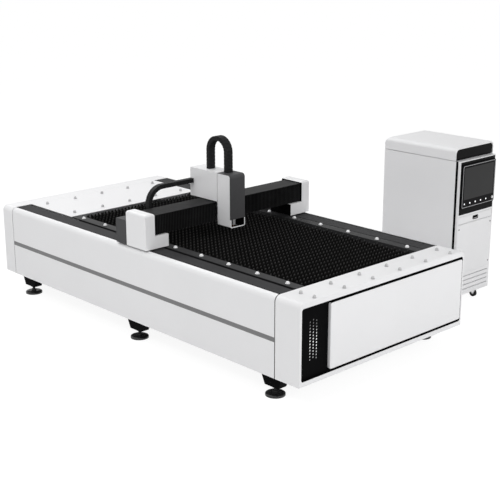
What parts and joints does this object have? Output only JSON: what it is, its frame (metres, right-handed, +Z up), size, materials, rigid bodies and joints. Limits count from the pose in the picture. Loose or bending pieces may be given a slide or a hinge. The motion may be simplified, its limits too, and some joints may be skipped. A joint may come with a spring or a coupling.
{
  "type": "fiber laser cutting machine",
  "caption": "Open flat-bed fiber laser cutter: serrated slat bed on levelling feet, gantry with bellows and lifting cutting head, and a separate control cabinet on castors.",
  "frame": {"origin": "middle of the footprint on the floor", "axes": "+X along the bed towards the front panel end, +Y towards the control cabinet, +Z up"},
  "size_m": [4.68, 3.734, 1.967],
  "materials": {
    "frame_paint": "satin grey paint",
    "white_paint": "satin white powder coat",
    "grey_strip": "satin grey paint",
    "black_paint": "satin black paint",
    "dark_grey": "fine textured dark grey paint",
    "bolt_steel": "zinc plated",
    "slat_steel": "dark mill steel",
    "machined_steel": "ground steel",
    "aluminium": "satin",
    "motor_black": "satin black paint",
    "bellows_cloth": "coated black cloth",
    "chain_plastic": "matt black",
    "nozzle_copper": "turned copper",
    "black_glass": "glossy black",
    "button_white": "glossy white",
    "castor_steel": "zinc plated",
    "castor_rubber": "black rubber"
  },
  "bodies": {
    "bed": {"side_girders": "frame_paint", "cross_beams": "frame_paint", "side_panels": "white_paint", "side_strips": "grey_strip", "front_end_cap": "white_paint", "rear_end_cap": "white_paint", "front_fascia": "black_paint", "front_panel": "white_paint", "rear_deck_plate": "white_paint", "plate_bolts": "bolt_steel", "way_covers": "dark_grey", "ledges": "dark_grey", "ledge_bolts": "bolt_steel", "support_slats": "slat_steel", "slag_tray": "frame_paint", "foot_brackets": "black_paint", "foot_studs": "bolt_steel", "foot_pads": "black_paint", "x_rails": "machined_steel", "x_racks": "machined_steel", "cabinet_body": "white_paint", "cabinet_top": "white_paint", "control_fascia": "black_glass", "screen": "black_glass", "service_panel": "white_paint", "rear_castor_forks": "castor_steel"},
    "gantry": {"gantry_beam": "dark_grey", "beam_top_cover": "dark_grey", "saddles": "machined_steel", "end_covers": "white_paint", "motor_covers": "dark_grey", "x_motors": "motor_black", "y_rails": "machined_steel", "y_rack": "machined_steel", "bellows_left": "bellows_cloth", "bellows_right": "bellows_cloth", "y_chain": "chain_plastic"},
    "x_pinion_left": {"x_pinion_left": "machined_steel"},
    "x_pinion_right": {"x_pinion_right": "machined_steel"},
    "carriage": {"carriage_plate": "aluminium", "rear_housing": "white_paint", "y_motor": "motor_black", "z_rails": "machined_steel", "z_motor": "motor_black", "z_chain": "chain_plastic"},
    "y_pinion": {"y_pinion": "machined_steel"},
    "z_screw": {"z_screw": "machined_steel"},
    "head": {"z_plate": "aluminium", "head_housing": "white_paint", "head_front_cover": "dark_grey", "cutting_head": "aluminium", "nozzle": "nozzle_copper"},
    "drawer": {"keyboard_drawer": "white_paint"},
    "power_button": {"power_button": "button_white"},
    "castor_left": {"castor_fork_left": "castor_steel"},
    "castor_right": {"castor_fork_right": "castor_steel"},
    "wheel_front_left": {"castor_wheel_front_left": "castor_rubber"},
    "wheel_front_right": {"castor_wheel_front_right": "castor_rubber"},
    "wheel_rear_left": {"castor_wheel_rear_left": "castor_rubber"},
    "wheel_rear_right": {"castor_wheel_rear_right": "castor_rubber"}
  },
  "joints": [
    {"name": "gantry_travel", "type": "slide", "parent": "bed", "child": "gantry", "axis": [1, 0, 0], "range_m": [-1.5, 1.5]},
    {"name": "carriage_travel", "type": "slide", "parent": "gantry", "child": "carriage", "axis": [0, 1, 0], "range_m": [-0.635, 0.865], "deforming": ["bellows_left", "bellows_right", "y_chain"]},
    {"name": "head_lift", "type": "slide", "parent": "carriage", "child": "head", "axis": [0, 0, 1], "range_m": [-0.07, 0.05], "deforming": ["z_chain"]},
    {"name": "x_pinion_left_spin", "type": "hinge", "parent": "gantry", "child": "x_pinion_left", "pos_m": [-0.1295, -1.62, 0.9], "axis": [0, 0, 1], "continuous": true},
    {"name": "x_pinion_right_spin", "type": "hinge", "parent": "gantry", "child": "x_pinion_right", "pos_m": [-0.1295, 0.166, 0.9], "axis": [0, 0, 1], "continuous": true},
    {"name": "y_pinion_spin", "type": "hinge", "parent": "carriage", "child": "y_pinion", "pos_m": [-0.0453, -0.842, 1.28], "axis": [0, 0, 1], "continuous": true},
    {"name": "z_screw_spin", "type": "hinge", "parent": "carriage", "child": "z_screw", "pos_m": [0.296, -0.842, 1.3], "axis": [0, 0, 1], "continuous": true},
    {"name": "drawer_slide", "type": "slide", "parent": "bed", "child": "drawer", "axis": [1, 0, 0], "range_m": [0, 0.3]},
    {"name": "power_press", "type": "slide", "parent": "bed", "child": "power_button", "axis": [-1, 0, 0], "range_m": [0, 0.004], "stiffness_N_per_m": 800},
    {"name": "castor_left_swivel", "type": "hinge", "parent": "bed", "child": "castor_left", "pos_m": [1.58, 1.333, 0.11], "axis": [0, 0, 1], "continuous": true},
    {"name": "castor_right_swivel", "type": "hinge", "parent": "bed", "child": "castor_right", "pos_m": [1.58, 1.737, 0.11], "axis": [0, 0, 1], "continuous": true},
    {"name": "wheel_front_left_spin", "type": "hinge", "parent": "castor_left", "child": "wheel_front_left", "pos_m": [1.55, 1.333, 0.04], "axis": [0, 1, 0], "continuous": true},
    {"name": "wheel_front_right_spin", "type": "hinge", "parent": "castor_right", "child": "wheel_front_right", "pos_m": [1.55, 1.737, 0.04], "axis": [0, 1, 0], "continuous": true},
    {"name": "wheel_rear_left_spin", "type": "hinge", "parent": "bed", "child": "wheel_rear_left", "pos_m": [0.73, 1.333, 0.04], "axis": [0, 1, 0], "continuous": true},
    {"name": "wheel_rear_right_spin", "type": "hinge", "parent": "bed", "child": "wheel_rear_right", "pos_m": [0.73, 1.737, 0.04], "axis": [0, 1, 0], "continuous": true}
  ],
  "couplings": [
    {"joint": "x_pinion_left_spin", "follows": "gantry_travel", "rad_per_m": -45.455},
    {"joint": "x_pinion_right_spin", "follows": "gantry_travel", "rad_per_m": 45.455},
    {"joint": "y_pinion_spin", "follows": "carriage_travel", "rad_per_m": -50},
    {"joint": "z_screw_spin", "follows": "head_lift", "rad_per_m": 628.32}
  ]
}
